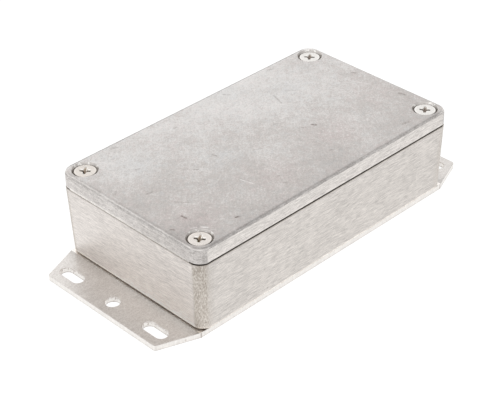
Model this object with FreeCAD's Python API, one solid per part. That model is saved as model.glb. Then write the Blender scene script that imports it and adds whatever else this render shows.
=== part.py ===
import FreeCAD, Part
import math
import os
from FreeCAD import Vector as V

# Die-cast aluminium box: base casting, flat lid on a gasket, four lid screws,
# and a sheet flange plate held under the base by four screws from beneath.
# Millimetres.  Origin at the bottom centre of the flange plate, +X across the
# width, +Y along the length, +Z up.

# ---------------------------------------------------------------- dimensions
PLATE_W = 62.3          # flange plate, across
PLATE_L = 142.0         # flange plate, along
PLATE_T = 2.0           # sheet thickness
PLATE_CUT_X = 5.45      # corner cut, measured along the end
PLATE_CUT_Y = 14.25     # corner cut, measured along the side
PLATE_TIP_R = 1.2       # rounding where a corner cut meets the end
PLATE_BREAK = 0.12      # broken sheet edges

SLOT_X = 20.0           # mounting slots, centre from the middle plane
SLOT_Y = 65.6           # slots and round holes, centre from the middle plane
SLOT_LEN = 10.0         # end to end, along X
SLOT_W = 4.4
HOLE_R = 2.5            # round hole between the two slots

BOX_W = 65.2            # outside width at the seam
BOX_L = 115.0           # outside length at the seam
BASE_Z0 = PLATE_T       # underside of the base casting
BASE_Z1 = 27.1          # rim of the base casting
BASE_TAPER = 0.8        # how far each outer wall leans in over its height
CORNER_R = 4.5          # outer vertical corners
SIDE_CUT = 0.13         # how far the flat sides are ground below the corners
FOOT_GAP = 0.6          # the outer walls stop this far above the plate
FOOT_IN = 1.6           # how far the foot pad stands in from the walls
FOOT_R = 0.25           # rounding of the walls' lower edge
RIM_BREAK = 0.18        # broken outer edge of the base's rim
FLOOR_T = 2.5

SCREW_X = 26.7          # lid screw axes from the middle planes
SCREW_Y = 51.7

SEAL_IN = 1.95          # centre line of the seal in from the outer face
SEAL_POST = 3.8         # radius of the seal line round a screw axis
SEAL_R = 1.9            # radius of the seal line at its outer corners
RIB_HALF = 0.5          # half width of the rib on the base rim
RIB_TOP = 28.4
GROOVE_HALF = 0.9       # half width of the groove in the lid
GROOVE_TOP = 30.1
GASKET_HALF = 0.85
CAVITY_IN = 0.85        # cavity wall in from the seal line, at the rim
CAVITY_DRAFT = 0.4      # cavity wall leans in this much down to the floor
CAVITY_FOOT_R = 1.2

BORE_R = 1.8            # lid screw holes in the posts
BORE_DEPTH = 13.6
BOSS_X = 20.0           # circuit board bosses on the floor
BOSS_Y = 38.0
BOSS_R0 = 3.1
BOSS_R1 = 2.75
BOSS_TOP = 8.0
BOSS_BORE_R = 1.25
BOSS_BORE_DEPTH = 4.0

LID_Z0 = 27.6           # underside of the lid's rim
LID_LAND_Z = 27.25      # lands on the rim along the two short sides
LID_LAND_HALF = 27.9    # half length of a land
LID_BREAK = 0.1         # broken outer edge of the lid's rim
LID_Z1 = 32.95          # top of the lid
LID_EDGE_R = 1.3        # rounding of the top edge
LID_CUT = 0.12          # how far the long sides are ground below the corners
LID_SKIN_Z = 30.65      # underside of the lid's top wall
LID_RECESS_IN = 1.75    # recess wall in from the seal line

HEAD_R = 3.6            # lid screws: 90 degree countersunk, 3.5 mm thread
HEAD_EDGE = 0.2
HEAD_Z = 32.42
SHANK_R = 1.75
SCREW_LEN = 12.0
SEAT_GAP = 0.07         # radial gap between head cone and its seat
SEAT_TOP_R = 3.3        # outer end of the conical seat
POCKET_R = 3.97         # sunk pocket round a head
POCKET_MOUTH_R = 4.48   # the pocket flares to this at the lid's top
RECESS_SCALE = 0.95
LID_HOLE_R = 2.1
RECESS_TURN = {"front_left": 38.0, "front_right": 33.0,
               "rear_left": 36.0, "rear_right": 35.0}

FIX_X = 25.0            # plate screws, 3 mm thread, from beneath
FIX_Y = 50.0
FIX_HEAD_R = 2.75
FIX_EDGE = 0.15
FIX_Z = 0.1
FIX_R = 1.5
FIX_LEN = 8.0
FIX_BORE_R = 1.55
FIX_HOLE_R = 1.7
FIX_TURN = {"front_left": 12.0, "front_right": 71.0,
            "rear_left": 40.0, "rear_right": 23.0}

CORNERS = {"front_left": (-1, -1), "front_right": (1, -1),
           "rear_left": (-1, 1), "rear_right": (1, 1)}


# ------------------------------------------------------------------- helpers
def arc(cx, cy, r, a0, a1, z):
    """Circular edge from angle a0 to a1, degrees."""
    am = math.radians(0.5 * (a0 + a1))
    a0, a1 = math.radians(a0), math.radians(a1)
    p = [V(cx + r * math.cos(a), cy + r * math.sin(a), z) for a in (a0, am, a1)]
    return Part.Arc(p[0], p[1], p[2]).toShape()


def joined(parts, z):
    """Closed wire through arcs (cx, cy, r, a0, a1), straight in between."""
    arcs = [arc(c[0], c[1], c[2], c[3], c[4], z) for c in parts]
    edges = []
    for i, a in enumerate(arcs):
        edges.append(a)
        p = a.valueAt(a.LastParameter)
        b = arcs[(i + 1) % len(arcs)]
        q = b.valueAt(b.FirstParameter)
        if p.distanceToPoint(q) > 1e-6:
            edges.append(Part.makeLine(p, q))
    return Part.Wire(edges)


def rounded(w, l, r, z):
    """Rounded rectangle, w along X and l along Y."""
    x, y = w / 2 - r, l / 2 - r
    return joined([(x, y, r, 0, 90), (-x, y, r, 90, 180),
                   (-x, -y, r, 180, 270), (x, -y, r, 270, 360)], z)


def rectangle(w, l, z):
    x, y = w / 2, l / 2
    return Part.makePolygon([V(x, -y, z), V(x, y, z), V(-x, y, z),
                             V(-x, -y, z), V(x, -y, z)])


def seal_line(d, z, r_out=None):
    """The seal's centre line moved outward by d: a rectangle whose corners
    step in round the screw posts."""
    hx, hy = BOX_W / 2 - SEAL_IN + d, BOX_L / 2 - SEAL_IN + d
    nx, ny = SCREW_X - SEAL_POST + d, SCREW_Y - SEAL_POST + d
    ri = SEAL_POST - d
    ro = SEAL_R + d if r_out is None else r_out
    return joined([
        (hx - ro, ny - ro, ro, 0, 90), (nx + ri, ny + ri, ri, 270, 180),
        (nx - ro, hy - ro, ro, 0, 90),
        (-nx + ro, hy - ro, ro, 90, 180), (-nx - ri, ny + ri, ri, 0, -90),
        (-hx + ro, ny - ro, ro, 90, 180),
        (-hx + ro, -ny + ro, ro, 180, 270), (-nx - ri, -ny - ri, ri, 90, 0),
        (-nx + ro, -hy + ro, ro, 180, 270),
        (nx - ro, -hy + ro, ro, 270, 360), (nx + ri, -ny - ri, ri, 180, 90),
        (hx - ro, -ny + ro, ro, 270, 360)], z)


def prism(wire, height):
    return Part.Face(wire).extrude(V(0, 0, height))


def band(d0, d1, z0, z1):
    """Closed band along the seal line, from offset d0 out to d1."""
    return prism(seal_line(d1, z0), z1 - z0).cut(prism(seal_line(d0, z0), z1 - z0))


def turned(profile, x, y):
    """Solid of revolution about a vertical axis through x, y.
    profile is a list of (radius, z) going once round the section."""
    pts = [V(x + r, y, z) for r, z in profile]
    face = Part.Face(Part.makePolygon(pts + [pts[0]]))
    return face.revolve(V(x, y, 0), V(0, 0, 1), 360)


def edges_at(shape, z, tol=1e-4):
    """Edges lying wholly at height z."""
    out = []
    for e in shape.Edges:
        b = e.BoundBox
        if abs(b.ZMin - z) < tol + 1e-3 and abs(b.ZMax - z) < tol + 1e-3:
            out.append(e)
    return out


def solid_of(shape, name):
    s = shape.removeSplitter()
    if s.ShapeType != "Solid":
        found = s.Solids
        if len(found) != 1:
            raise ValueError("%s has %d solids" % (name, len(found)))
        s = found[0]
    if not s.isValid() or s.Volume <= 0:
        raise ValueError("%s is not a valid solid" % name)
    return s


def cross_recess(x, y, z, turn, scale=1.0):
    """Cross-shaped driver recess sunk from height z: two tapering wings and a
    round taper between them."""
    def wing(length_top, length_low, w_top, w_low, depth):
        sect = []
        for ll, ww, zz in ((length_top, w_top, z + 0.05), (length_low, w_low, z - depth)):
            r = ww * 0.30
            sect.append(rounded(ll, ww, r, zz))
        return Part.makeLoft(sect, True, True)

    a = wing(4.25 * scale, 1.5 * scale, 1.12 * scale, 0.82 * scale, 2.15 * scale)
    b = a.copy()
    b.rotate(V(0, 0, 0), V(0, 0, 1), 90)
    core = Part.makeCone(1.28 * scale, 0.55 * scale, 1.35 * scale,
                         V(0, 0, z + 0.02), V(0, 0, -1))
    tip = Part.makeCone(0.72 * scale, 0.08, 2.6 * scale,
                        V(0, 0, z - 0.4 * scale), V(0, 0, -1))
    tool = a.fuse(b).fuse(core).fuse(tip)
    tool.rotate(V(0, 0, 0), V(0, 0, 1), turn)
    tool.translate(V(x, y, 0))
    return tool


# -------------------------------------------------------------- flange plate
def make_plate():
    hx, hy = PLATE_W / 2, PLATE_L / 2
    pts = [V(hx, -hy + PLATE_CUT_Y, 0), V(hx, hy - PLATE_CUT_Y, 0),
           V(hx - PLATE_CUT_X, hy, 0), V(-hx + PLATE_CUT_X, hy, 0),
           V(-hx, hy - PLATE_CUT_Y, 0), V(-hx, -hy + PLATE_CUT_Y, 0),
           V(-hx + PLATE_CUT_X, -hy, 0), V(hx - PLATE_CUT_X, -hy, 0)]
    body = Part.Face(Part.makePolygon(pts + [pts[0]])).extrude(V(0, 0, PLATE_T))
    tips = []
    for e in body.Edges:
        b = e.BoundBox
        if b.ZLength > PLATE_T - 0.01 and abs(abs(b.Center.y) - hy) < 0.01:
            tips.append(e)
    body = body.makeFillet(PLATE_TIP_R, tips)
    for sy in (-1, 1):
        for sx in (-1, 1):
            r = SLOT_W / 2
            w = rounded(SLOT_LEN, SLOT_W, r - 1e-4, -1)
            w.translate(V(sx * SLOT_X, sy * SLOT_Y, 0))
            body = body.cut(prism(w, PLATE_T + 2))
        body = body.cut(Part.makeCylinder(HOLE_R, PLATE_T + 2,
                                          V(0, sy * SLOT_Y, -1)))
    rim = [e for z in (0.0, PLATE_T) for e in edges_at(body, z)]
    body = body.makeChamfer(PLATE_BREAK, rim)
    for sx, sy in CORNERS.values():
        seat = FIX_HEAD_R + SEAT_GAP
        z0 = FIX_Z + FIX_EDGE
        body = body.cut(turned([(0, -1), (seat + z0 + 1, -1),
                                (FIX_HOLE_R, z0 + seat - FIX_HOLE_R),
                                (FIX_HOLE_R, PLATE_T + 1), (0, PLATE_T + 1)],
                               sx * FIX_X, sy * FIX_Y))
    return solid_of(body, "flange_plate")


# -------------------------------------------------------------- base casting
def make_base():
    w0, l0 = BOX_W - 2 * BASE_TAPER, BOX_L - 2 * BASE_TAPER
    c = 2 * SIDE_CUT
    rise = BASE_Z1 - BASE_Z0
    k = BASE_TAPER / rise
    zf = BASE_Z0 + FOOT_GAP
    grow = 2 * k * FOOT_GAP
    blank = Part.makeLoft([rounded(w0 + grow + c, l0 + grow + c, CORNER_R - 0.2, zf),
                           rounded(BOX_W + c, BOX_L + c, CORNER_R, BASE_Z1)],
                          True, True)
    blank = blank.makeFillet(FOOT_R, edges_at(blank, zf))
    sides = Part.makeLoft([rectangle(w0 - 2 * k, l0 - 2 * k, BASE_Z0 - 1),
                           rectangle(BOX_W + 2 * k, BOX_L + 2 * k, BASE_Z1 + 1)],
                          True, True)
    body = blank.common(sides)
    body = body.makeChamfer(RIM_BREAK, edges_at(body, BASE_Z1))
    body = body.fuse(prism(rounded(w0 - 2 * FOOT_IN, l0 - 2 * FOOT_IN, 3.0, BASE_Z0),
                           FOOT_GAP + 0.6))

    d0 = -CAVITY_IN - CAVITY_DRAFT
    over = 1.0
    dk = CAVITY_DRAFT / (BASE_Z1 - BASE_Z0 - FLOOR_T)
    cav = Part.makeLoft([seal_line(d0, BASE_Z0 + FLOOR_T, 1.3),
                         seal_line(-CAVITY_IN + dk * over, BASE_Z1 + over, 1.3)],
                        True, True)
    cav = cav.makeFillet(CAVITY_FOOT_R, edges_at(cav, BASE_Z0 + FLOOR_T))
    body = body.cut(cav)
    body = body.fuse(band(-RIB_HALF, RIB_HALF, BASE_Z1 - 0.5, RIB_TOP))
    crest = [e for e in edges_at(body, RIB_TOP)]
    body = body.makeChamfer(0.15, crest)

    for sx, sy in CORNERS.values():
        zb = BASE_Z1 - BORE_DEPTH
        body = body.cut(turned([(0, BASE_Z1 + 2), (BORE_R + 0.35 + 2, BASE_Z1 + 2),
                                (BORE_R, BASE_Z1 - 0.35), (BORE_R, zb),
                                (0, zb - 1.05)], sx * SCREW_X, sy * SCREW_Y))
        top = FIX_Z + FIX_LEN + 0.6
        body = body.cut(turned([(0, BASE_Z0 - 1), (FIX_BORE_R, BASE_Z0 - 1),
                                (FIX_BORE_R, top), (0, top + 0.9)],
                               sx * FIX_X, sy * FIX_Y))
        bz = BASE_Z0 + FLOOR_T
        body = body.fuse(turned([(0, bz - 0.8), (BOSS_R0, bz - 0.8), (BOSS_R0, bz),
                                 (BOSS_R1, BOSS_TOP - 0.2),
                                 (BOSS_R1 - 0.2, BOSS_TOP), (0, BOSS_TOP)],
                                sx * BOSS_X, sy * BOSS_Y))
        body = body.cut(turned([(0, BOSS_TOP + 1), (BOSS_BORE_R, BOSS_TOP + 1),
                                (BOSS_BORE_R, BOSS_TOP - BOSS_BORE_DEPTH),
                                (0, BOSS_TOP - BOSS_BORE_DEPTH - 0.6)],
                               sx * BOSS_X, sy * BOSS_Y))
    return solid_of(body, "base_casting")


# ----------------------------------------------------------------------- lid
def make_lid():
    c = 2 * LID_CUT
    body = prism(rounded(BOX_W + c, BOX_L, CORNER_R, LID_Z0), LID_Z1 - LID_Z0)
    body = body.makeFillet(LID_EDGE_R, edges_at(body, LID_Z1))
    lean = 0.06
    sides = Part.makeLoft([rectangle(BOX_W, BOX_L + 2, LID_Z0),
                           rectangle(BOX_W - 2 * lean, BOX_L + 2, LID_Z1 + 0.5)],
                          True, True)
    body = body.common(sides)
    body = body.makeChamfer(LID_BREAK, edges_at(body, LID_Z0))
    recess = Part.makeLoft([seal_line(-LID_RECESS_IN + 0.05, LID_Z0 - 1, 1.2),
                            seal_line(-LID_RECESS_IN - 0.2, LID_SKIN_Z, 1.2)],
                           True, True)
    recess = recess.makeFillet(0.8, edges_at(recess, LID_SKIN_Z))
    body = body.cut(recess)
    body = body.cut(band(-GROOVE_HALF, GROOVE_HALF, LID_Z0 - 1, GROOVE_TOP))
    # lands: the rim stands lower along the short sides, outside the groove
    y0 = BOX_L / 2 - SEAL_IN + GROOVE_HALF + 0.1
    y1 = BOX_L / 2
    for sy in (-1, 1):
        b = 0.1
        prof = [(y0, LID_LAND_Z), (y1 - b, LID_LAND_Z), (y1, LID_LAND_Z + b),
                (y1, LID_Z0 + 0.4), (y0, LID_Z0 + 0.4)]
        pts = [V(-LID_LAND_HALF, sy * y, z) for y, z in prof]
        face = Part.Face(Part.makePolygon(pts + [pts[0]]))
        body = body.fuse(face.extrude(V(2 * LID_LAND_HALF, 0, 0)))
    seat = HEAD_R + SEAT_GAP
    z0 = HEAD_Z - HEAD_EDGE
    for sx, sy in CORNERS.values():
        body = body.cut(turned([(0, LID_Z0 - 1), (LID_HOLE_R, LID_Z0 - 1),
                                (LID_HOLE_R, z0 - (seat - LID_HOLE_R)),
                                (SEAT_TOP_R, z0 - (seat - SEAT_TOP_R)),
                                (POCKET_R, z0 - (seat - SEAT_TOP_R) - 0.04),
                                (POCKET_R, LID_Z1 - 0.80),
                                (POCKET_MOUTH_R - 0.20, LID_Z1 - 0.23),
                                (POCKET_MOUTH_R - 0.08, LID_Z1 - 0.07),
                                (POCKET_MOUTH_R, LID_Z1),
                                (POCKET_MOUTH_R + 0.3, LID_Z1 + 0.2),
                                (POCKET_MOUTH_R + 0.3, LID_Z1 + 1),
                                (0, LID_Z1 + 1)], sx * SCREW_X, sy * SCREW_Y))
    return solid_of(body, "lid")


def make_gasket():
    return solid_of(band(-GASKET_HALF, GASKET_HALF, RIB_TOP, GROOVE_TOP), "gasket")


# -------------------------------------------------------------------- screws
def make_lid_screw(name):
    sx, sy = CORNERS[name]
    x, y = sx * SCREW_X, sy * SCREW_Y
    z0 = HEAD_Z - HEAD_EDGE
    tip = HEAD_Z - SCREW_LEN
    body = turned([(0, HEAD_Z), (HEAD_R - 0.1, HEAD_Z), (HEAD_R, HEAD_Z - 0.1),
                   (HEAD_R, z0), (SHANK_R, z0 - (HEAD_R - SHANK_R)),
                   (SHANK_R, tip + 0.5), (SHANK_R - 0.5, tip), (0, tip)], x, y)
    body = body.cut(cross_recess(x, y, HEAD_Z, RECESS_TURN[name], RECESS_SCALE))
    return solid_of(body, "lid_screw_" + name)


def make_plate_screw(name):
    sx, sy = CORNERS[name]
    x, y = sx * FIX_X, sy * FIX_Y
    z0 = FIX_Z + FIX_EDGE
    tip = FIX_Z + FIX_LEN
    body = turned([(0, FIX_Z), (FIX_HEAD_R - 0.08, FIX_Z), (FIX_HEAD_R, FIX_Z + 0.08),
                   (FIX_HEAD_R, z0), (FIX_R, z0 + FIX_HEAD_R - FIX_R),
                   (FIX_R, tip - 0.4), (FIX_R - 0.4, tip), (0, tip)], x, y)
    tool = cross_recess(0, 0, 0, FIX_TURN[name], 0.72)
    tool.rotate(V(0, 0, 0), V(1, 0, 0), 180)
    tool.translate(V(x, y, FIX_Z))
    body = body.cut(tool)
    return solid_of(body, "plate_screw_" + name)


def main():
    nodes = {"flange_plate": make_plate(), "base_casting": make_base(),
             "lid": make_lid(), "gasket": make_gasket()}
    for name in CORNERS:
        nodes["lid_screw_" + name] = make_lid_screw(name)
        nodes["plate_screw_" + name] = make_plate_screw(name)
    os.makedirs("parts", exist_ok=True)
    for name, shape in nodes.items():
        shape.exportStep(os.path.join("parts", name + ".step"))
        b = shape.optimalBoundingBox(False)
        print("%-24s vol %9.2f  x %7.2f %7.2f  y %7.2f %7.2f  z %6.2f %6.2f"
              % (name, shape.Volume, b.XMin, b.XMax, b.YMin, b.YMax, b.ZMin, b.ZMax))
    return nodes


main()
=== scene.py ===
import math

import bpy
import bmesh
import numpy as np
from mathutils import Matrix, Vector


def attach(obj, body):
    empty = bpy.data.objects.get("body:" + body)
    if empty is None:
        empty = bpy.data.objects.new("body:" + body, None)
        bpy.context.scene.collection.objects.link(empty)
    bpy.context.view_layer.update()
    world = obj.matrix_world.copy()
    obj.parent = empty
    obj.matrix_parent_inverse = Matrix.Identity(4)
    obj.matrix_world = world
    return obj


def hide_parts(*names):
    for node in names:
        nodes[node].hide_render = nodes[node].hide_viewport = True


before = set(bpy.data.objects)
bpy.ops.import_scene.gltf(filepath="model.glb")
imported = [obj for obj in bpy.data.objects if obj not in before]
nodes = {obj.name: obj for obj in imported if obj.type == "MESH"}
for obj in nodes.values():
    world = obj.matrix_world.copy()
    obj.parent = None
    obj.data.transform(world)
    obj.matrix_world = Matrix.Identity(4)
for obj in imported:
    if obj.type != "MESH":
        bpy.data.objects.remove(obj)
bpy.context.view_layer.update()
scene = bpy.context.scene

# ------------------------------------------------------------------- camera
# Fitted to the photograph's edges, 500 x 400 frame.
AZ, EL, ROLL = math.radians(46.140), math.radians(34.063), math.radians(-1.282)
DIST, FOCAL_PX = 0.499916, 1504.319
TARGET = Vector((0.000309, -0.005333, 0.011223))


def make_camera():
    back = Vector((math.sin(AZ) * math.cos(EL), -math.cos(AZ) * math.cos(EL), math.sin(EL)))
    right = (-back).cross(Vector((0, 0, 1))).normalized()
    up = right.cross(-back)
    r2 = right * math.cos(ROLL) + up * math.sin(ROLL)
    u2 = -right * math.sin(ROLL) + up * math.cos(ROLL)
    data = bpy.data.cameras.new("camera")
    data.sensor_fit = "HORIZONTAL"
    data.sensor_width = 36.0
    data.lens = FOCAL_PX * 36.0 / 500.0
    data.clip_start = 0.01
    data.clip_end = 50.0
    obj = bpy.data.objects.new("camera", data)
    m = Matrix((r2, u2, back)).transposed().to_4x4()
    m.translation = TARGET + back * DIST
    obj.matrix_world = m
    scene.collection.objects.link(obj)
    scene.camera = obj
    return obj


camera = make_camera()
scene.view_settings.view_transform = "Standard"
scene.view_settings.look = "None"
scene.view_settings.exposure = 0.0
scene.view_settings.gamma = 1.0


# -------------------------------------------------------------------- nodes
class Tree:
    """Short names for the shader nodes used below."""

    def __init__(self, tree):
        self.t = tree
        self.n = tree.nodes
        self.l = tree.links

    def put(self, socket, value):
        if isinstance(value, bpy.types.NodeSocket):
            self.l.new(value, socket)
        elif value is not None:
            socket.default_value = value

    def coords(self):
        """Object coordinates in millimetres."""
        tc = self.n.new("ShaderNodeTexCoord")
        v = self.n.new("ShaderNodeVectorMath")
        v.operation = "SCALE"
        self.l.new(tc.outputs["Object"], v.inputs[0])
        v.inputs["Scale"].default_value = 1000.0
        return v.outputs[0]

    def xyz(self, vec):
        s = self.n.new("ShaderNodeSeparateXYZ")
        self.l.new(vec, s.inputs[0])
        return s.outputs[0], s.outputs[1], s.outputs[2]

    def vec(self, x, y, z):
        s = self.n.new("ShaderNodeCombineXYZ")
        for i, v in enumerate((x, y, z)):
            self.put(s.inputs[i], v)
        return s.outputs[0]

    def m(self, op, a, b=None, c=None, clamp=False):
        s = self.n.new("ShaderNodeMath")
        s.operation = op
        s.use_clamp = clamp
        self.put(s.inputs[0], a)
        if b is not None:
            self.put(s.inputs[1], b)
        if c is not None:
            self.put(s.inputs[2], c)
        return s.outputs[0]

    def add(self, a, b): return self.m("ADD", a, b)
    def sub(self, a, b): return self.m("SUBTRACT", a, b)
    def mul(self, a, b): return self.m("MULTIPLY", a, b)
    def mad(self, a, b, c): return self.m("MULTIPLY_ADD", a, b, c)
    def mx(self, a, b): return self.m("MAXIMUM", a, b)
    def mn(self, a, b): return self.m("MINIMUM", a, b)
    def ab(self, a): return self.m("ABSOLUTE", a)

    def step(self, x, lo, hi, out0=0.0, out1=1.0):
        """Smooth step of x from lo to hi."""
        s = self.n.new("ShaderNodeMapRange")
        s.interpolation_type = "SMOOTHSTEP"
        self.put(s.inputs["Value"], x)
        s.inputs["From Min"].default_value = lo
        s.inputs["From Max"].default_value = hi
        s.inputs["To Min"].default_value = out0
        s.inputs["To Max"].default_value = out1
        return s.outputs["Result"]

    def stretch(self, vec, sx, sy, sz, rot=None):
        s = self.n.new("ShaderNodeMapping")
        self.l.new(vec, s.inputs["Vector"])
        s.inputs["Scale"].default_value = (sx, sy, sz)
        if rot:
            s.inputs["Rotation"].default_value = rot
        return s.outputs[0]

    def noise(self, vec, scale, detail=2.0, rough=0.5, dist=0.0, w=None):
        s = self.n.new("ShaderNodeTexNoise")
        if w is not None:
            s.noise_dimensions = "4D"
            s.inputs["W"].default_value = w
        self.l.new(vec, s.inputs["Vector"])
        s.inputs["Scale"].default_value = scale
        s.inputs["Detail"].default_value = detail
        s.inputs["Roughness"].default_value = rough
        s.inputs["Distortion"].default_value = dist
        return s.outputs["Fac"]

    def cells(self, vec, scale, feature="F1", rnd=1.0):
        s = self.n.new("ShaderNodeTexVoronoi")
        s.feature = feature
        self.l.new(vec, s.inputs["Vector"])
        s.inputs["Scale"].default_value = scale
        s.inputs["Randomness"].default_value = rnd
        return s

    def mix(self, fac, a, b):
        s = self.n.new("ShaderNodeMix")
        s.data_type = "RGBA"
        s.blend_type = "MIX"
        self.put(s.inputs["Factor"], fac)
        self.put(s.inputs[6], a if isinstance(a, bpy.types.NodeSocket) else (*a, 1.0))
        self.put(s.inputs[7], b if isinstance(b, bpy.types.NodeSocket) else (*b, 1.0))
        return s.outputs[2]

    def mixf(self, fac, a, b):
        s = self.n.new("ShaderNodeMix")
        s.data_type = "FLOAT"
        self.put(s.inputs["Factor"], fac)
        self.put(s.inputs[2], a)
        self.put(s.inputs[3], b)
        return s.outputs[0]

    def scale_rgb(self, col, fac):
        s = self.n.new("ShaderNodeVectorMath")
        s.operation = "SCALE"
        self.l.new(col, s.inputs[0])
        self.put(s.inputs["Scale"], fac)
        return s.outputs[0]

    def bump(self, height, dist_mm, strength=1.0, normal=None):
        s = self.n.new("ShaderNodeBump")
        self.put(s.inputs["Height"], height)
        s.inputs["Distance"].default_value = dist_mm * 0.001
        s.inputs["Strength"].default_value = strength
        if normal is not None:
            self.l.new(normal, s.inputs["Normal"])
        return s.outputs["Normal"]


def material(name):
    m = bpy.data.materials.new(name)
    m.use_nodes = True
    t = Tree(m.node_tree)
    bsdf = m.node_tree.nodes["Principled BSDF"]
    return m, t, bsdf


def dress(obj, mat):
    obj.data.materials.clear()
    obj.data.materials.append(mat)


# ------------------------------------------------------------------ patterns
def fractal(t, v, scale, detail, rough, w, gain):
    """Noise centred on zero, about -gain to +gain."""
    return t.mad(t.noise(v, scale, detail, rough, w=w), 2 * gain, -gain)


def shifted(t, v, x, y, z):
    s = t.n.new("ShaderNodeVectorMath")
    s.operation = "ADD"
    t.l.new(v, s.inputs[0])
    s.inputs[1].default_value = (x, y, z)
    return s.outputs[0]


def pits(t, v, spacing, radius, keep, seed):
    """Small round marks on a jittered lattice, 1 inside and 0 outside."""
    c = t.cells(shifted(t, v, seed, -seed, 2 * seed), 1.0 / spacing)
    r, g, b = t.xyz(c.outputs["Color"])
    rad = t.mad(g, 0.75 * radius / spacing, 0.25 * radius / spacing)
    hit = t.step(t.m("DIVIDE", c.outputs["Distance"], rad), 0.55, 1.15, 1.0, 0.0)
    return t.mul(hit, t.m("GREATER_THAN", r, 1.0 - keep))


def streaks(t, v, angle, along, across, lo, hi, w):
    """Faint straight scuffs lying at an angle in the XY plane."""
    q = t.stretch(v, 1, 1, 1, (0, 0, angle))
    q = t.stretch(q, along, across, across)
    return t.step(t.noise(q, 1.0, 1.0, 0.5, w=w), lo, hi)


def line_mark(t, x, y, a, b, width):
    """1 on the line from a to b in the XY plane, fading at width, in mm."""
    dx, dy = b[0] - a[0], b[1] - a[1]
    l2 = dx * dx + dy * dy
    px, py = t.sub(x, a[0]), t.sub(y, a[1])
    h = t.m("MULTIPLY_ADD", px, dx / l2, t.mul(py, dy / l2), clamp=True)
    ex, ey = t.mad(h, -dx, px), t.mad(h, -dy, py)
    d = t.m("SQRT", t.add(t.mul(ex, ex), t.mul(ey, ey)))
    return t.step(d, 0.0, width, 1.0, 0.0)


def blot(t, v, centre, radius, soft=1.0):
    """Soft round patch; v may be a warped position."""
    d = t.n.new("ShaderNodeVectorMath")
    d.operation = "DISTANCE"
    t.l.new(v, d.inputs[0])
    d.inputs[1].default_value = centre
    return t.step(d.outputs["Value"], radius * (1 - soft), radius, 1.0, 0.0)


def warped(t, v, scale, amount, w):
    n = t.n.new("ShaderNodeTexNoise")
    n.noise_dimensions = "4D"
    n.inputs["W"].default_value = w
    t.l.new(v, n.inputs["Vector"])
    n.inputs["Scale"].default_value = scale
    n.inputs["Detail"].default_value = 2.0
    c = t.n.new("ShaderNodeVectorMath")
    c.operation = "MULTIPLY_ADD"
    t.l.new(n.outputs["Color"], c.inputs[0])
    c.inputs[1].default_value = (2 * amount,) * 3
    c.inputs[2].default_value = (-amount,) * 3
    a = t.n.new("ShaderNodeVectorMath")
    a.operation = "ADD"
    t.l.new(v, a.inputs[0])
    t.l.new(c.outputs[0], a.inputs[1])
    return a.outputs[0]


def lines(t, along, across, length, pitch, w, gain):
    """Fine parallel lines; each row has its own light and dark stretches."""
    row = t.m("FLOOR", t.mul(across, 1.0 / pitch))
    n = t.noise(t.vec(t.mul(along, 1.0 / length), t.mul(row, 7.31), w), 1.0, 1.0, 0.6)
    return t.mad(n, 2 * gain, -gain)


def brushed(t, along, across, w, coarse, mid, fine):
    """Linishing: three widths of lines, the finest strongest."""
    total = lines(t, along, across, 12.0, 0.83, w, coarse)
    total = t.add(total, lines(t, along, across, 6.0, 0.34, w + 3.3, mid))
    return t.add(total, lines(t, along, across, 3.0, 0.14, w + 6.6, fine))


def normal(t):
    """The surface's direction in the row's frame."""
    tc = t.n.new("ShaderNodeTexCoord")
    return t.xyz(tc.outputs["Normal"])


def finish(t, b, colour, rough, height, dist_mm, metal=1.0):
    t.put(b.inputs["Base Color"], colour)
    t.put(b.inputs["Roughness"], rough)
    if isinstance(metal, float):
        b.inputs["Metallic"].default_value = metal
    else:
        t.put(b.inputs["Metallic"], metal)
    t.l.new(t.bump(height, dist_mm), b.inputs["Normal"])


SX, SY = 26.7, 51.7          # lid screw axes
KZ = 0.8 / 25.1              # lean of the base's outer walls


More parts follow.
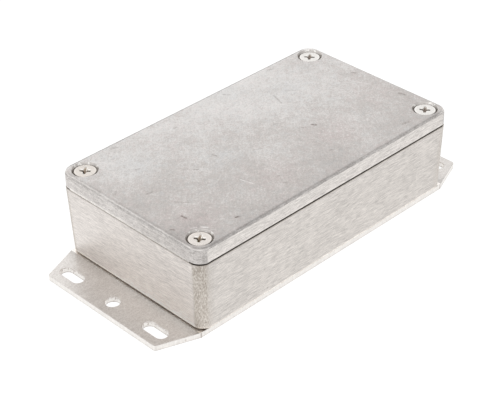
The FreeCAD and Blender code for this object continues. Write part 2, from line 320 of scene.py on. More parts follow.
# ------------------------------------------------------------- cast aluminium
def lid_material():
    """Tumbled as-cast skin on the top, the short sides and the corners;
    linished long sides; turned pockets."""
    m, t, b = material("lid_metal")
    p = t.coords()
    x, y, z = t.xyz(p)
    ax, ay = t.ab(x), t.ab(y)
    top = t.step(z, 32.6, 32.9)
    ground = t.step(t.mad(z, 0.010256, ax), 32.874, 32.881)
    sx, sy = t.sub(ax, SX), t.sub(ay, SY)
    rs = t.m("SQRT", t.add(t.mul(sx, sx), t.mul(sy, sy)))
    turned = t.step(rs, 4.46, 4.52, 1.0, 0.0)

    # skin: clouds at every scale from 15 mm down to 0.3 mm
    wob = warped(t, p, 0.11, 3.0, 2.2)
    tone = t.add(fractal(t, p, 0.055, 3.0, 0.75, 1.3, 0.24), fractal(t, p, 0.36, 3.0, 0.85, 2.9, 0.17))
    tone = t.add(tone, fractal(t, p, 2.6, 1.0, 0.8, 4.1, 0.30))
    wx, wy, wz = t.xyz(wob)
    # painted shade on the top: darker towards +x and towards the front and rear ends, warped by noise
    drift = t.m("MULTIPLY_ADD", wx, -0.0038, t.mul(t.mn(wy, t.mad(wy, -0.6, 36.0)), 0.0012))
    tone = t.add(tone, t.mul(top, t.add(drift, -0.015)))
    tone = t.add(tone, t.mul(top, t.step(wy, -58.0, -44.0, -0.04, 0.0)))
    tone = t.add(tone, t.mul(top, t.step(wy, 30.0, 50.0, 0.0, -0.035)))
    # fine scratches crossing each other
    for ang, along, across, w, gain in ((0.78, 0.40, 2.4, 21.0, 0.055), (0.45, 0.30, 1.6, 22.0, 0.03),
                                        (1.25, 0.30, 1.9, 24.0, 0.03), (-0.95, 0.40, 2.6, 23.0, 0.04)):
        v = t.stretch(t.stretch(p, 1, 1, 1, (0, 0, ang)), along, across, 0.5)
        tone = t.add(tone, t.mul(top, fractal(t, v, 1.0, 0.0, 0.5, w, gain)))
    low = t.sub(1.0, top)
    tone = t.add(tone, t.mul(low, t.add(lines(t, t.add(x, y), z, 2.0, 0.16, 31.5, 0.46), lines(t, t.add(x, y), z, 5.0, 0.45, 33.5, 0.14))))
    tone = t.add(tone, t.mul(low, t.add(fractal(t, p, 0.8, 3.0, 0.85, 35.0, 0.24), fractal(t, p, 2.4, 1.0, 0.6, 37.0, 0.26))))
    tone = t.add(tone, t.mul(streaks(t, p, 0.55, 0.05, 0.9, 0.60, 0.72, 7.0), -0.020))
    tone = t.add(tone, t.mul(streaks(t, p, -0.75, 0.07, 1.3, 0.60, 0.72, 8.0), 0.022))
    dirt = pits(t, p, 5.5, 0.40, 0.45, 3.0)
    dirt = t.mx(dirt, t.mul(pits(t, p, 2.3, 0.22, 0.25, 11.0), 0.7))
    # stains and handling marks on the top, with painted shade in them: darker towards +x and the ends, lighter towards
    # -x
    for cx, cy, r, amp in ((22, -50, 12, -0.070), (16, 54, 12, -0.045), (-22, 46, 13, -0.055),
                           (0, -53, 9, -0.030), (24, 12, 12, -0.020), (8, -30, 8, -0.025), (12, 20, 8, -0.022),
                           (-17, -38, 11, 0.030), (-12, -6, 13, 0.020), (2, 34, 11, 0.028), (-2, 10, 22, 0.035)):
        tone = t.add(tone, t.mul(blot(t, wob, (cx, cy, 33), r), amp))
    pink = t.mad(t.noise(p, 0.60, 4.0, 0.9, w=41.0), 4.0, -2.0)
    for cx, cy, r, amp in ((19, -47, 15, 0.55), (20, -12, 14, 0.45), (16, 20, 14, 0.50), (8, 48, 14, 0.35),
                           (-16, -38, 12, -0.50), (0, -16, 11, -0.40), (-16, 28, 11, -0.35), (-29, 12, 9, -0.40)):
        pink = t.add(pink, t.mul(blot(t, wob, (cx, cy, 33), r), amp))
    mark = 0.0
    for cx, cy, dx, dy, width, amp in (
            (15.6, -47.9, 0.9, 0.1, 0.65, 1.0), (27.2, -36.6, 0.2, 0.5, 0.70, 1.0), (7.0, 18.2, 0.5, 0.4, 0.75, 1.0),
            (28.1, 39.9, 0.3, 1.4, 0.90, 0.55), (14.8, 53.6, 1.0, 0.2, 0.75, 0.7), (-14.6, -40.1, 0.3, 0.6, 0.70, 0.6),
            (-9.4, -53.7, -0.6, 0.6, 0.55, 0.5), (-29.7, -37.0, 0.4, 0.8, 1.00, 0.35), (-29.7, 35.0, 0.3, 0.7, 0.95, 0.40),
            (-28.3, 11.9, 0.8, 0.5, 0.70, 0.35), (-24.7, -14.8, 0.1, 0.4, 0.60, 0.4), (-1.7, -46.4, 0.2, 1.1, 0.50, 0.7),
            (-1.1, -27.3, 0.4, 0.5, 0.55, 0.6), (-3.0, -17.5, 0.8, 0.2, 0.50, 0.6), (18.1, -54.8, 0.4, 0.3, 0.70, 0.8),
            (5.9, 14.7, 0.6, 0.5, 0.45, 0.5), (-2.4, 9.5, 0.3, 1.3, 0.40, 0.35), (20.4, -11.6, 0.3, 0.5, 0.50, 0.5),
            (24.6, -13.2, 0.5, 0.3, 0.50, 0.5), (21.8, 10.8, 0.4, 0.6, 0.50, 0.6), (24.8, 15.2, 0.4, 0.5, 0.50, 0.4),
            (-6.9, 53.3, 0.5, 0.3, 0.60, 0.6), (4.4, -5.4, 0.7, 1.3, 0.40, 0.35), (-13.3, 21.8, -3.0, 1.0, 0.55, 0.45),
            (-14.0, 29.7, 1.8, 1.8, 0.60, 0.25), (9.5, -42.7, 1.9, 1.7, 0.35, 0.50), (-3.7, -29.4, 1.6, 1.4, 0.35, 0.25)):
        mark = t.mx(mark, t.mul(line_mark(t, x, y, (cx - dx, cy - dy), (cx + dx, cy + dy), width), amp))
    bright = line_mark(t, x, y, (13.2, -21.7), (18.2, -20.4), 0.28)
    bright = t.mx(bright, t.mul(line_mark(t, x, y, (-24.0, 29.5), (-18.5, 28.2), 0.25), 0.3))
    bright = t.mx(bright, t.mul(line_mark(t, x, y, (-23.5, 27.6), (-18.0, 26.4), 0.25), 0.3))
    bright = t.mx(bright, t.mul(line_mark(t, x, y, (-23.0, 25.8), (-17.6, 24.8), 0.25), 0.25))
    # painted highlights on the far lip of the pockets
    for cx, cy, dx, dy, width, amp in (
            (24.0, -47.2, 0.7, 0.5, 0.70, 0.8), (26.8, -46.2, 0.6, 0.5, 0.35, 0.3), (-28.6, -47.9, 0.6, 0.6, 0.80, 0.9),
            (-27.4, -46.6, 0.8, 0.7, 0.50, 0.5), (25.6, 55.6, 0.7, 0.7, 0.80, 0.7), (22.0, -49.6, 0.4, 0.7, 0.50, 0.5)):
        bright = t.mx(bright, t.mul(line_mark(t, x, y, (cx - dx, cy - dy), (cx + dx, cy + dy), width), amp))
    mark, bright = t.mul(mark, top), t.mul(bright, top)
    warm = t.step(tone, -0.11, 0.11, 1.0, 0.0)
    warm = t.mx(warm, t.mul(low, 0.6))
    skin = t.mix(warm, (0.612, 0.596, 0.582), (0.562, 0.530, 0.508))
    skin = t.mix(t.mx(t.mn(t.mul(pink, top), 1.0), 0.0), skin, t.mix(warm, (0.636, 0.590, 0.580), (0.588, 0.521, 0.506)))
    skin = t.mix(t.mx(t.mn(t.mul(pink, t.mul(top, -1.0)), 1.0), 0.0), skin, (0.578, 0.574, 0.572))
    skin = t.scale_rgb(skin, t.add(tone, 1.0))
    skin = t.mix(t.mul(dirt, 0.45), skin, (0.30, 0.25, 0.22))
    grit = t.step(t.noise(p, 1.5, 3.0, 0.9, w=43.0), 0.40, 0.54, 0.25, 1.0)
    skin = t.mix(t.mul(t.mul(mark, grit), 0.92), skin, (0.17, 0.135, 0.12))
    skin = t.mix(t.mul(t.mul(bright, grit), 0.85), skin, (0.84, 0.82, 0.80))
    nx, ny, nz = normal(t)
    # painted highlight along the bevel of the ends and corners, and along the lower edge of the ends, broken into
    # patches
    patchy = t.mad(t.noise(p, 0.40, 4.0, 0.8, w=15.0), 2.6, -0.65)
    bevel_highlight = t.mul(t.step(nz, 0.60, 0.70), t.step(nz, 0.78, 0.88, 1.0, 0.0))
    bevel_highlight = t.mul(t.mul(bevel_highlight, t.mx(t.step(ay, 55.5, 56.3), t.step(t.add(ax, ay), 84.0, 85.5))), patchy)
    lip = t.mul(t.mul(t.step(z, 27.9, 28.5, 1.0, 0.0), t.step(ay, 57.0, 57.3)), patchy)
    skin = t.mix(t.mx(t.mul(bevel_highlight, 0.42), t.mul(lip, t.step(x, -4.0, 6.0, 1.0, 0.35))), skin, (0.84, 0.81, 0.78))
    end = t.step(ay, 55.5, 56.3)
    # painted shade in a band on the bevel of the ends
    band = t.mul(t.step(nz, 0.10, 0.45), t.step(nz, 0.55, 0.64, 1.0, 0.0))
    band = t.mx(band, t.mul(t.mul(t.step(nz, 0.85, 0.92), t.step(nz, 0.97, 0.995, 1.0, 0.0)), 0.05))
    skin = t.scale_rgb(skin, t.mad(t.mul(band, end), -0.13, 1.0))

    # painted light: the ends, corners and bevels lighter overall, more so towards -x
    skin = t.scale_rgb(skin, t.add(t.mul(low, t.mad(x, -0.0017, 0.080)), 1.0))
    # painted shade on the upper part of the ends
    skin = t.scale_rgb(skin, t.mad(t.mul(t.step(z, 31.0, 31.9), t.mul(low, end)), -0.06, 1.0))
    # painted shade along the rear end's upper edge
    skin = t.scale_rgb(skin, t.mad(t.mul(t.step(z, 31.0, 31.6), t.step(y, 55.9, 56.8)), -0.14, 1.0))
    # painted shade where the left edge rolls over
    roll = t.mul(t.step(z, 31.0, 31.6), t.step(x, -32.10, -31.35, 1.0, 0.0))
    skin = t.scale_rgb(skin, t.mad(roll, -0.60, 1.0))
    # painted highlight on the upper edge of the corners
    skin = t.scale_rgb(skin, t.mad(t.mul(t.step(t.add(ax, ay), 83.5, 85.5), t.step(z, 31.5, 32.2)), 0.12, 1.0))
    # painted shade on the bevel beside the linished face
    skin = t.scale_rgb(skin, t.mad(t.mul(low, t.mul(t.step(ax, 31.0, 32.0), t.step(ay, 56.0, 55.0))), -0.10, 1.0))

    # linished long sides
    lin = t.add(brushed(t, y, z, 2.5, 0.02, 0.10, 0.60), fractal(t, p, 2.4, 1.0, 0.6, 19.0, 0.22))
    lin = t.add(lin, fractal(t, p, 0.10, 4.0, 0.8, 3.3, 0.09))
    side = t.scale_rgb(t.mix(0.0, (0.685, 0.652, 0.622), (0, 0, 0)), t.add(lin, 1.0))
    side = t.mix(t.mul(dirt, 0.35), side, (0.33, 0.28, 0.24))
    # painted highlight just above the lid's lower edge, painted shade on the edge itself at the seam
    side = t.scale_rgb(side, t.step(z, 27.95, 28.30, 1.20, 1.0))
    side = t.scale_rgb(side, t.step(z, 27.72, 27.97, 0.22, 1.0))

    # pockets: a worn flare with bright nicks, grime and painted shade down in the gap
    ring = t.mul(t.m("SINE", t.mul(rs, 34.0)), 0.03)
    fl = fractal(t, p, 0.9, 3.0, 0.8, 16.0, 0.30)
    pocket = t.scale_rgb(t.mix(0.0, (0.585, 0.555, 0.530), (0, 0, 0)), t.add(t.add(ring, 1.0), fl))
    pocket = t.mix(t.step(t.noise(p, 1.0, 1.0, 0.5, w=17.0), 0.54, 0.64), pocket, (0.88, 0.86, 0.83))
    # painted shade with grime low in the gap round each head, darkest on the side nearer the camera
    away = t.add(t.mul(t.mul(t.m("SIGN", x), sx), -0.72), t.mul(t.mul(t.m("SIGN", y), sy), 0.695))
    gap_grime_and_shade = t.mul(t.step(t.add(z, t.mul(fl, 0.2)), 31.95, 32.12, 0.92, 0.0), t.step(away, -0.3, 2.2, 1.0, 0.25))
    pocket = t.mix(gap_grime_and_shade, pocket, (0.10, 0.08, 0.065))

    col = t.mix(ground, skin, side)
    col = t.mix(turned, col, pocket)
    rough = t.mad(tone, 0.35, 0.43)
    rough = t.mixf(ground, t.mixf(roll, rough, 0.80), t.mad(lin, 0.12, 0.40))
    rough = t.mixf(turned, rough, 0.34)
    h = t.mixf(ground, t.mad(dirt, -0.5, t.mul(tone, 2.6)), t.mul(lin, 0.8))
    h = t.mixf(turned, h, ring)
    finish(t, b, col, rough, h, 0.05)
    return m


def base_material():
    """Linished outer flats, as-cast corner strips, foot and inside."""
    m, t, b = material("base_metal")
    p = t.coords()
    x, y, z = t.xyz(p)
    ax, ay = t.ab(x), t.ab(y)
    lx0, ly0 = t.mad(z, -KZ, ax), t.mad(z, -KZ, ay)
    wob = fractal(t, p, 0.9, 3.0, 0.8, 12.0, 1.1)
    up = t.step(z, 2.78, 2.86)
    fx = t.mul(t.step(lx0, 31.730, 31.734), up)
    fy = t.mul(t.step(ly0, 56.630, 56.634), up)
    # the skin runs on past the corner a little before the linishing takes over
    fx = t.mul(fx, t.step(t.add(ly0, wob), 50.6, 54.9, 1.0, 0.35))
    fx = t.mx(fx, t.mul(t.step(t.mad(wob, 0.25, lx0), 31.40, 31.73, 0.0, 0.45), up))
    fy = t.mul(fy, t.step(t.mad(wob, 0.45, lx0), 27.5, 29.2, 1.0, 0.25))
    flat = t.mx(fx, fy)
    sx, sy = t.sub(ax, SX), t.sub(ay, SY)
    rs = t.m("SQRT", t.add(t.mul(sx, sx), t.mul(sy, sy)))
    bore = t.mul(t.step(rs, 1.95, 2.0, 1.0, 0.0), t.step(z, 13.0, 13.3))

    # cast skin: darker, warmer, drawn a little along the wall
    q = t.stretch(p, 1.0, 1.0, 0.38)
    tone = fractal(t, q, 0.12, 5.0, 0.88, 5.2, 0.26)
    tone = t.add(tone, fractal(t, q, 3.1, 1.0, 0.8, 6.4, 0.60))
    dirt = pits(t, p, 2.6, 0.36, 0.55, 5.0)
    warm = t.step(tone, -0.20, 0.20, 1.0, 0.0)
    skin = t.mix(warm, (0.622, 0.588, 0.546), (0.552, 0.492, 0.434))
    # painted light: the skin lighter towards the bottom
    skin = t.scale_rgb(skin, t.add(t.mad(t.sub(15.5, z), 0.0055, tone), 0.955))
    skin = t.mix(t.mul(dirt, 0.5), skin, (0.20, 0.155, 0.13))

    # linished flats; the short sides show a second, slanting pass
    lx = t.add(brushed(t, y, z, 1.5, 0.02, 0.08, 0.58), fractal(t, p, 0.085, 2.0, 0.75, 1.7, 0.14))
    zt = t.mad(x, -0.22, z)
    ly = t.add(brushed(t, x, z, 0.5, 0.015, 0.07, 0.49), fractal(t, p, 0.085, 2.0, 0.75, 2.7, 0.08))
    ly = t.add(ly, fractal(t, t.vec(t.mul(x, 0.25), t.mul(zt, 2.4), t.mul(y, 0.06)), 1.0, 2.0, 0.8, 9.0, 0.09))
    lin = t.add(t.mixf(fx, ly, lx), fractal(t, p, 2.4, 1.0, 0.6, 29.0, 0.16))
    few = t.mul(pits(t, p, 6.0, 0.42, 0.35, 8.0), 0.8)
    few = t.mx(few, t.mul(pits(t, p, 2.5, 0.2, 0.22, 14.0), 0.6))
    side = t.mix(fy, (0.645, 0.610, 0.578), (0.745, 0.703, 0.670))
    # painted light: the short sides lighter towards the bottom and towards +x, and lighter again just above the foot;
    # the long sides a little darker towards the ends
    drop = t.mul(fy, t.add(t.mul(t.sub(15.5, z), 0.0042), t.mul(t.mx(t.sub(15.5, z), 0.0), t.step(x, -18.0, -2.0, 0.0, 0.0175))))
    side = t.scale_rgb(side, t.add(t.add(drop, lin), 1.0))
    side = t.scale_rgb(side, t.mixf(fx, 1.0, t.step(ly0, 46.0, 53.0, 1.0, 0.96)))
    side = t.scale_rgb(side, t.mixf(fy, 1.0, t.step(z, 3.2, 7.0, 1.07, 1.0)))
    side = t.mix(t.mul(few, 0.5), side, (0.28, 0.23, 0.19))

    thread = t.m("SINE", t.mul(z, 2 * math.pi / 0.6))
    col = t.mix(flat, skin, side)
    # painted shade under the foot and on the rim just below the seam, outside the seal
    under = t.step(z, 2.56, 2.62, 0.4, 0.0)
    # painted highlight just above the foot
    col = t.scale_rgb(col, t.step(z, 2.72, 3.40, 1.45, 1.0))
    rim = t.mul(t.mx(t.step(z, 27.04, 27.08, 0.0, 0.8), t.step(z, 26.2, 26.9, 0.0, 0.10)), t.step(z, 27.15, 27.3, 1.0, 0.0))
    col = t.mix(t.mx(under, rim), col, (0.25, 0.21, 0.185))
    # painted shade in the tapped bores, striped along the thread
    col = t.mix(t.mul(bore, t.mad(thread, 0.25, 0.4)), col, (0.42, 0.40, 0.38))
    rough = t.mixf(flat, t.mad(tone, 0.3, 0.50), t.mad(lin, 0.12, 0.42))
    h = t.mixf(flat, t.mad(dirt, -0.6, t.mul(tone, 2.4)), t.mul(lin, 0.8))
    h = t.mixf(bore, h, t.mul(thread, 1.2))
    finish(t, b, col, rough, h, 0.05)
    return m


# --------------------------------------------------------------- sheet plate
def plate_material():
    """Mill-finish sheet with brighter punched edges."""
    m, t, b = material("plate_metal")
    p = t.coords()
    x, y, z = t.xyz(p)
    cut = t.mul(t.step(z, 0.06, 0.14), t.step(z, 1.86, 1.94, 1.0, 0.0))
    tone = t.add(fractal(t, p, 0.09, 4.0, 0.85, 3.7, 0.11), fractal(t, p, 2.3, 2.0, 0.9, 8.8, 0.34))
    tone = t.add(tone, fractal(t, t.vec(t.mul(x, 1.8), t.mul(y, 0.16), z), 1.0, 2.0, 0.6, 5.5, 0.10))
    tone = t.add(tone, t.mul(streaks(t, p, 0.9, 0.06, 1.4, 0.62, 0.72, 4.0), -0.03))
    tone = t.add(tone, t.mul(streaks(t, p, -0.5, 0.08, 1.6, 0.64, 0.74, 6.0), 0.03))
    dirt = pits(t, p, 4.0, 0.32, 0.4, 6.0)
    warm = t.step(tone, -0.10, 0.10, 1.0, 0.0)
    face = t.mix(warm, (0.730, 0.703, 0.678), (0.684, 0.647, 0.617))
    face = t.scale_rgb(face, t.add(tone, 1.0))
    face = t.mix(t.mul(dirt, 0.35), face, (0.42, 0.36, 0.31))
    # painted shade on the plate under the base
    hid = t.mul(t.step(t.ab(y), 55.2, 55.8, 0.7, 0.0), t.mul(t.step(t.ab(x), 31.0, 31.2, 1.0, 0.0), t.step(z, 1.0, 1.1)))
    # painted shade on the plate next to the ends of the base and a little towards +x, painted light where it runs in
    # under the foot
    face = t.scale_rgb(face, t.mad(t.mul(t.step(t.ab(y), 57.0, 57.35, 1.0, 0.0), t.step(t.ab(x), 31.0, 32.5, 1.0, 0.0)), 0.56, t.mul(t.step(x, -12.0, 12.0, 0.975, 0.955), t.step(t.ab(y), 57.2, 61.5, 0.84, 1.0))))
    # painted shade on the plate by the ends of the base, towards +x
    face = t.scale_rgb(face, t.mad(t.mul(t.step(x, -16.0, 12.0), t.step(t.ab(y), 60.0, 64.0, 1.0, 0.0)), -0.06, 1.0))
    face = t.mix(hid, face, (0.25, 0.215, 0.19))
    # punched edge: burnished upper part, broken lower part
    g = t.add(fractal(t, t.vec(t.mul(t.add(x, y), 1.9), t.mul(t.sub(x, y), 1.9), t.mul(z, 0.35)), 1.0, 2.0, 0.7, 2.2, 0.16),
              fractal(t, p, 0.5, 3.0, 0.8, 1.1, 0.14))
    low = t.step(t.add(z, t.mul(g, 1.4)), 0.45, 0.95, 1.0, 0.0)
    edge = t.scale_rgb(t.mix(low, (0.860, 0.832, 0.800), (0.815, 0.785, 0.752)), t.add(g, 1.0))
    inner = t.mul(t.step(t.ab(y), 62.0, 62.2), t.step(t.ab(y), 69.0, 69.2, 1.0, 0.0))
    inner = t.mul(inner, t.step(t.ab(x), 25.3, 25.5, 1.0, 0.0))
    # a dark line along the bottom of the cut edges, strongest in the slots: a burr, and painted shade
    foot = t.step(t.add(z, t.mul(g, 0.8)), 0.22, 0.42, 1.0, 0.0)
    edge = t.mix(t.mul(foot, t.mad(inner, 0.45, 0.25)), edge, (0.30, 0.26, 0.23))
    tick = t.step(t.noise(t.vec(t.mul(x, 1.3), t.mul(y, 1.3), t.mul(z, 0.5)), 1.0, 2.0, 0.7, w=12.0), 0.55, 0.63)
    burn = t.mul(t.step(z, 1.45, 1.75), t.step(t.noise(p, 0.8, 2.0, 0.7, w=14.0), 0.42, 0.55))
    edge = t.mix(t.mul(inner, t.mul(t.mx(tick, burn), 0.55)), edge, (0.30, 0.24, 0.20))
    crease = line_mark(t, t.ab(x), t.ab(y), (31.15, 56.7), (31.15, 56.8), 0.42)
    crease = t.mul(t.mx(crease, t.mul(line_mark(t, t.ab(x), t.ab(y), (25.9, 70.7), (26.0, 70.6), 0.30), 0.6)), t.step(g, -0.1, 0.1, 0.6, 1.0))
    edge = t.mix(t.mul(crease, 0.75), edge, (0.26, 0.21, 0.18))
    nick = pits(t, p, 3.2, 0.45, 0.35, 9.0)
    edge = t.mix(t.mul(nick, 0.4), edge, (0.45, 0.38, 0.33))
    col = t.mix(cut, face, edge)
    rough = t.mixf(cut, t.mad(tone, 0.3, 0.38), t.mad(g, 0.3, 0.44))
    h = t.mixf(cut, t.mul(tone, 1.6), t.mul(g, 1.4))
    finish(t, b, col, rough, h, 0.04)
    return m


def rubber_material():
    m, t, b = material("seal_rubber")
    p = t.coords()
    a = fractal(t, p, 0.35, 4.0, 0.7, 1.0, 0.5)
    g = fractal(t, p, 5.0, 1.0, 0.5, 3.0, 0.5)
    dust = t.step(t.noise(p, 1.1, 3.0, 0.7, w=6.0), 0.60, 0.75, 0.0, 0.35)
    col = t.scale_rgb(t.mix(0.0, (0.026, 0.026, 0.027), (0, 0, 0)), t.add(a, 1.0))
    col = t.mix(dust, col, (0.10, 0.095, 0.09))
    finish(t, b, col, t.mad(g, 0.15, 0.62), t.add(t.mul(a, 0.6), t.mul(g, 0.5)), 0.03, 0.0)
    b.inputs["Specular IOR Level"].default_value = 0.35
    return m


# -------------------------------------------------------------------- screws
def screw_material(name, seed, scale, head_r, bright, dark, highlight_gain):
    """Nickel-plated steel; grime with painted shade in the cross recess, painted highlights in and beside it, and
    painted shade on the head's side down in the gap.
    """
    m, t, b = material(name)
    p = t.coords()
    x, y, z = t.xyz(p)
    r = t.m("SQRT", t.add(t.mul(x, x), t.mul(y, y)))
    tone = t.add(fractal(t, p, 0.6, 4.0, 0.8, seed, 0.22), fractal(t, p, 4.0, 1.0, 0.5, seed + 2, 0.05))
    turn = t.mul(t.m("SINE", t.mul(r, 13.0)), 0.035)
    metal = t.scale_rgb(t.mix(0.0, bright, (0, 0, 0)), t.add(t.add(tone, turn), 1.0))
    metal = t.scale_rgb(metal, t.step(r, 0.80 * head_r, 0.92 * head_r, 1.0, 1.12))
    # painted highlights beside the wings, on their far side
    burn = t.mul(t.step(t.ab(x), 0.45, 0.65), t.step(t.ab(x), 1.5, 2.0, 1.0, 0.0))
    burn = t.mul(burn, t.mul(t.step(y, 0.40, 0.55), t.step(y, 0.75, 1.05, 1.0, 0.0)))
    burn = t.mx(burn, t.mul(t.step(t.ab(t.add(x, -0.32)), 0.14, 0.26, 1.0, 0.0), t.mul(t.step(y, 1.5, 1.7), t.step(y, 2.1, 2.3, 1.0, 0.0))))
    metal = t.mix(t.mul(burn, 0.8 * highlight_gain), metal, (0.96, 0.94, 0.91))
    inside = t.mul(t.step(r, 2.20 * scale, 2.24 * scale, 1.0, 0.0), t.step(z, -2.45 * scale, -2.42 * scale))
    deep = t.step(t.add(z, t.mul(tone, 0.5)), -0.9 * scale, -0.15 * scale, 1.0, 0.80)
    deep = t.mul(deep, t.step(z, -0.075, -0.045, 1.0, 0.0))
    # the recess: grime with painted shade, darker in the two side wings and lighter in the near wing
    side = t.step(t.sub(t.ab(x), t.ab(y)), -0.1, 0.25)
    recess_grime_and_shade = t.mix(side, t.mix(t.step(y, -0.2, 0.3, 1.0, 0.0), dark, tuple(min(1.7 * c, 0.75) for c in dark)), tuple(0.5 * c for c in dark))
    col = t.mix(t.mul(inside, deep), metal, recess_grime_and_shade)
    # painted highlights: a narrow streak in the far wing, glints on the far flanks of the side wings and the lip round
    # the recess
    streak_highlight = t.mul(t.step(t.ab(t.add(x, -0.34)), 0.18, 0.28, 1.0, 0.0), t.step(y, 0.10, 0.30))
    streak_highlight = t.mul(streak_highlight, t.step(z, -0.60, -0.45))
    glint = t.mul(t.mul(t.step(t.ab(x), 0.55, 0.70), t.step(y, 0.34, 0.46)), t.step(z, -0.40, -0.25))
    shine = t.mul(t.mul(t.mx(t.mul(streak_highlight, highlight_gain), t.mul(glint, 0.8)), inside), t.step(z, -0.03, -0.01, 1.0, 0.0))
    lip = t.mul(t.mul(inside, t.step(z, -0.05, -0.035)), t.step(z, -0.012, -0.004, 0.8, 0.0))
    col = t.mix(t.mx(shine, lip), col, (0.98, 0.95, 0.90))
    # painted shade on the head's side, down in the gap
    rim = t.mul(t.step(r, head_r - 0.04, head_r - 0.01), t.step(z, -0.12, -0.05, 1.0, 0.0))
    rim = t.mul(rim, t.step(z, -0.45, -0.40))
    col = t.mix(t.mul(rim, 0.85), col, (0.12, 0.10, 0.085))
    worn = t.mul(pits(t, p, 1.1, 0.16, 0.25, seed), 0.5)
    col = t.mix(worn, col, (0.30, 0.24, 0.19))
    rough = t.mixf(t.mul(inside, deep), t.mad(tone, 0.4, 0.27), 0.5)
    finish(t, b, col, rough, t.add(t.mul(tone, 1.2), turn), 0.02, t.mad(t.mx(shine, t.mul(t.mul(inside, deep), t.sub(1.0, side))), -0.85, 1.0))
    return m


def recess_outline(tip, half, core):
    """Cross outline, 96 points anticlockwise: each wing has a rounded end and
    straight flanks, with an arc between neighbouring wings."""
    core = max(core, half * 1.43)
    a0 = math.asin(half / core)
    er = half * 0.55
    pts = []
    for q in range(4):
        one = []
        for i in range(4):
            a = -math.pi / 4 + (math.pi / 4 - a0) * i / 4.0
            one.append((core * math.cos(a), core * math.sin(a)))
        cx, ex = core * math.cos(a0), tip - er
        for i in range(4):
            one.append((cx + (ex - cx) * i / 4.0, -half))
        for i in range(4):
            a = -math.pi / 2 + (math.pi / 2) * (i + 0.5) / 4.0
            one.append((ex + er * math.cos(a), -(half - er) + er * math.sin(a)))
        one += [(tip, 0.0)] + [(px, -py) for px, py in one[:0:-1]]
        for px, py in one:
            c, s = math.cos(q * math.pi / 2), math.sin(q * math.pi / 2)
            pts.append((px * c - py * s, px * s + py * c))
    return pts


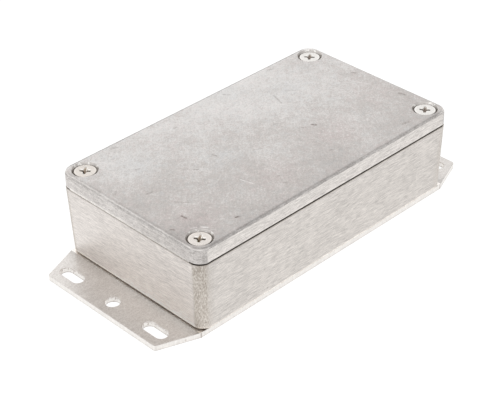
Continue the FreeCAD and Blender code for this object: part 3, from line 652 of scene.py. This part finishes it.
def make_screw(name, place, turn_deg, down, head_r, edge, shank_r, root_r, pitch, length, recess, mat, body,
               burr=False):
    """Countersunk screw about its own axis, head top at z = 0, in mm."""
    verts, faces = [], []

    def ring(pts):
        i = len(verts)
        verts.extend(pts)
        return list(range(i, i + len(pts)))

    def bridge(a, b):
        n = len(a)
        for k in range(n):
            faces.append((a[k], a[(k + 1) % n], b[(k + 1) % n], b[k]))

    k = recess
    levels = [(-2.12, 0.84, 0.32, 0.32), (-1.55, 1.15, 0.37, 0.48), (-0.95, 1.48, 0.42, 0.70),
              (-0.42, 1.76, 0.465, 0.92), (-0.11, 1.91, 0.49, 1.06), (-0.045, 1.945, 0.515, 1.09),
              (0.0, 2.02, 0.585, 1.16)]
    outs = [(z, recess_outline(tip, half, core)) for z, tip, half, core in levels]
    centre = len(verts)
    verts.append((0, 0, -2.38 * k))
    low = ring([(px * k, py * k, z0 * k) for z0, pts in outs[:1] for px, py in pts])
    n = len(low)
    for i in range(n):
        faces.append((centre, low[i], low[(i + 1) % n]))
    last = low
    for z0, pts in outs[1:]:
        nxt = ring([(px * k, py * k, z0 * k) for px, py in pts])
        bridge(last, nxt)
        last = nxt
    if burr:
        # metal pushed over into the far wing in use
        i = len(verts)
        verts.extend((px * k, py * k, pz * k) for px, py, pz in (
            (0.22, 0.34, -0.24), (0.54, 0.40, -0.04), (0.54, 1.90, -0.01), (0.22, 1.76, -0.12),
            (0.20, 0.30, -0.95), (0.44, 0.30, -0.95), (0.44, 1.60, -0.62), (0.20, 1.60, -0.62)))
        for f in ((0, 1, 2, 3), (7, 6, 5, 4), (0, 4, 5, 1), (1, 5, 6, 2), (2, 6, 7, 3), (3, 7, 4, 0)):
            faces.append(tuple(i + q for q in f))
    top = outs[-1][1]
    ang = [math.atan2(py, px) for px, py in top]
    even = [-math.pi / 4 + 2 * math.pi * i / n for i in range(n)]
    for i in range(n):
        while ang[i] < even[i] - math.pi:
            ang[i] += 2 * math.pi
        while ang[i] > even[i] + math.pi:
            ang[i] -= 2 * math.pi
    r_in = 2.11 * k
    for f, r in ((0.35, None), (0.7, None), (1.0, head_r - 0.16)):
        pts = []
        for i in range(n):
            a = ang[i] + (even[i] - ang[i]) * f
            r0 = math.hypot(top[i][0], top[i][1]) * k
            rr = r0 + (head_r - 0.16 - r0) * f
            pts.append((rr * math.cos(a), rr * math.sin(a), 0.0))
        nxt = ring(pts)
        bridge(last, nxt)
        last = nxt

    def circle(r, z, count=96):
        return ring([(r * math.cos(-math.pi / 4 + 2 * math.pi * i / count),
                      r * math.sin(-math.pi / 4 + 2 * math.pi * i / count), z) for i in range(count)])

    for r, z in ((head_r - 0.10, -0.012), (head_r - 0.045, -0.04), (head_r - 0.012, -0.085),
                 (head_r, -0.14), (head_r, -edge), (head_r - 0.05, -edge - 0.05)):
        nxt = circle(r, z)
        bridge(last, nxt)
        last = nxt
    z_neck = -edge - (head_r - root_r - 0.08)
    nxt = circle(root_r + 0.08, z_neck)
    bridge(last, nxt)
    last = nxt
    # 96 sides to 48
    z = z_neck - 0.10
    nxt = circle(root_r, z, 48)
    for i in range(48):
        a0, a1, a2 = last[2 * i], last[2 * i + 1], last[(2 * i + 2) % 96]
        b0, b1 = nxt[i], nxt[(i + 1) % 48]
        faces.append((a0, a1, b0))
        faces.append((a1, a2, b1, b0))
    last = nxt
    # thread: rows 1/14 of a pitch apart, crest and root cut flat
    z_tip = -length
    rows = int(round((z - (z_tip + 0.5)) / (pitch / 14.0)))
    dz = (z - (z_tip + 0.5)) / rows
    z_first = z
    for j in range(1, rows + 1):
        z = z_first - j * dz
        pts = []
        for i in range(48):
            a = -math.pi / 4 + 2 * math.pi * i / 48
            ph = (z / pitch + a / (2 * math.pi)) % 1.0
            tri = abs(ph - 0.5) * 2.0
            prof = min(1.0, max(0.0, (tri - 0.16) / 0.66))
            grow = min(1.0, (j * dz) / (1.2 * pitch))
            r = root_r + (shank_r - root_r) * prof * grow
            pts.append((r * math.cos(a), r * math.sin(a), z))
        nxt = ring(pts)
        bridge(last, nxt)
        last = nxt
    for r, zz in ((root_r - 0.12, z_tip + 0.22), (root_r - 0.38, z_tip)):
        nxt = circle(r, zz, 48)
        bridge(last, nxt)
        last = nxt
    end = len(verts)
    verts.append((0, 0, z_tip))
    for i in range(48):
        faces.append((last[i], last[(i + 1) % 48], end))

    me = bpy.data.meshes.new(name)
    me.from_pydata([(vx * 0.001, vy * 0.001, vz * 0.001) for vx, vy, vz in verts], [], faces)
    bm = bmesh.new()
    bm.from_mesh(me)
    bmesh.ops.recalc_face_normals(bm, faces=bm.faces)
    bm.to_mesh(me)
    bm.free()
    for poly in me.polygons:
        poly.use_smooth = True
    me.set_sharp_from_angle(angle=math.radians(32))
    ob = bpy.data.objects.new(name, me)
    scene.collection.objects.link(ob)
    ob.location = [c * 0.001 for c in place]
    ob.rotation_euler = (math.pi if down else 0.0, 0.0, math.radians(turn_deg))
    dress(ob, mat)
    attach(ob, body)
    return ob


dress(nodes["base_casting"], base_material())
dress(nodes["lid"], lid_material())
dress(nodes["flange_plate"], plate_material())
dress(nodes["gasket"], rubber_material())

LID_TURN = {"front_left": 38.0, "front_right": 33.0, "rear_left": 36.0, "rear_right": 35.0}
# painted light: the heads darkest at the front left and lightest at the rear right, the recess colour lighter at the
# front
LID_METAL = {"front_left": (0.610, 0.570, 0.530), "front_right": (0.640, 0.600, 0.562),
             "rear_left": (0.670, 0.650, 0.625), "rear_right": (0.695, 0.675, 0.650)}
RECESS_GRIME_AND_SHADE = {"front_left": (0.640, 0.540, 0.440), "front_right": (0.540, 0.445, 0.355),
         "rear_left": (0.430, 0.368, 0.320), "rear_right": (0.430, 0.368, 0.320)}
FIX_TURN = {"front_left": 12.0, "front_right": 71.0, "rear_left": 40.0, "rear_right": 23.0}
for i, (corner, (cx, cy)) in enumerate({"front_left": (-1, -1), "front_right": (1, -1),
                                        "rear_left": (-1, 1), "rear_right": (1, 1)}.items()):
    s = make_screw("lid_screw_mesh_" + corner, (cx * SX, cy * SY, 32.42), LID_TURN[corner], False,
                   3.6, 0.2, 1.75, 1.38, 0.6, 12.0, 0.95,
                   screw_material("lid_screw_metal_" + corner, 3.0 + 5 * i, 0.95, 3.6, LID_METAL[corner],
                                  RECESS_GRIME_AND_SHADE[corner], 0.95 if cy < 0 else 0.5),
                   "screw_" + corner, burr=cy < 0)
    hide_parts("lid_screw_" + corner)
    s = make_screw("plate_screw_mesh_" + corner, (cx * 25.0, cy * 50.0, 0.1), FIX_TURN[corner], True,
                   2.75, 0.15, 1.5, 1.19, 0.5, 8.0, 0.72,
                   screw_material("plate_screw_metal_" + corner, 4.0 + 5 * i, 0.72, 2.75, (0.860, 0.835, 0.790),
                                  (0.160, 0.125, 0.100), 0.3),
                   "base")
    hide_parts("plate_screw_" + corner)


# -------------------------------------------------------------------- stage
def make_floor():
    me = bpy.data.meshes.new("floor")
    s = 3.0
    me.from_pydata([(-s, -s, -0.00005), (s, -s, -0.00005), (s, s, -0.00005), (-s, s, -0.00005)], [], [(0, 1, 2, 3)])
    ob = bpy.data.objects.new("floor", me)
    scene.collection.objects.link(ob)
    m, t, b = material("floor")
    b.inputs["Base Color"].default_value = (0.16, 0.16, 0.16, 1)
    b.inputs["Emission Color"].default_value = (1, 1, 1, 1)
    b.inputs["Emission Strength"].default_value = 0.93
    b.inputs["Roughness"].default_value = 0.9
    b.inputs["Specular IOR Level"].default_value = 0.0
    dress(ob, m)
    return ob


make_floor()


# brightness of the sky's soft patches: elevation, first azimuth, gains round it
SKY = ((14.0, 0.0, (0.513, 0.271, 0.357, 0.308, 0.227, 0.458, 0.345, 0.567, 0.782)),
       (42.0, 20.0, (0.000, 0.240, 0.294, 0.408, 0.189, 0.161, 0.000)),
       (72.0, 60.0, (0.259, 0.276, 0.208)))


def make_world():
    """A pale studio: soft patches of light, brightest low at the rear left and
    in front, dimmest at the rear right."""
    w = bpy.data.worlds.new("studio")
    scene.world = w
    w.use_nodes = True
    t = Tree(w.node_tree)
    bg = w.node_tree.nodes["Background"]
    tc = t.n.new("ShaderNodeTexCoord")
    total = 0.02
    for el, az0, gains in SKY:
        for i, gain in enumerate(gains):
            az = math.radians(az0 + 360.0 * i / len(gains))
            e = math.radians(el)
            dot = t.n.new("ShaderNodeVectorMath")
            dot.operation = "DOT_PRODUCT"
            t.l.new(tc.outputs["Generated"], dot.inputs[0])
            dot.inputs[1].default_value = (math.sin(az) * math.cos(e), math.cos(az) * math.cos(e), math.sin(e))
            total = t.add(total, t.step(dot.outputs["Value"], 0.60, 1.0, 0.0, gain))
    t.put(bg.inputs["Strength"], total)
    bg.inputs["Color"].default_value = (1.0, 1.0, 1.0, 1)


make_world()
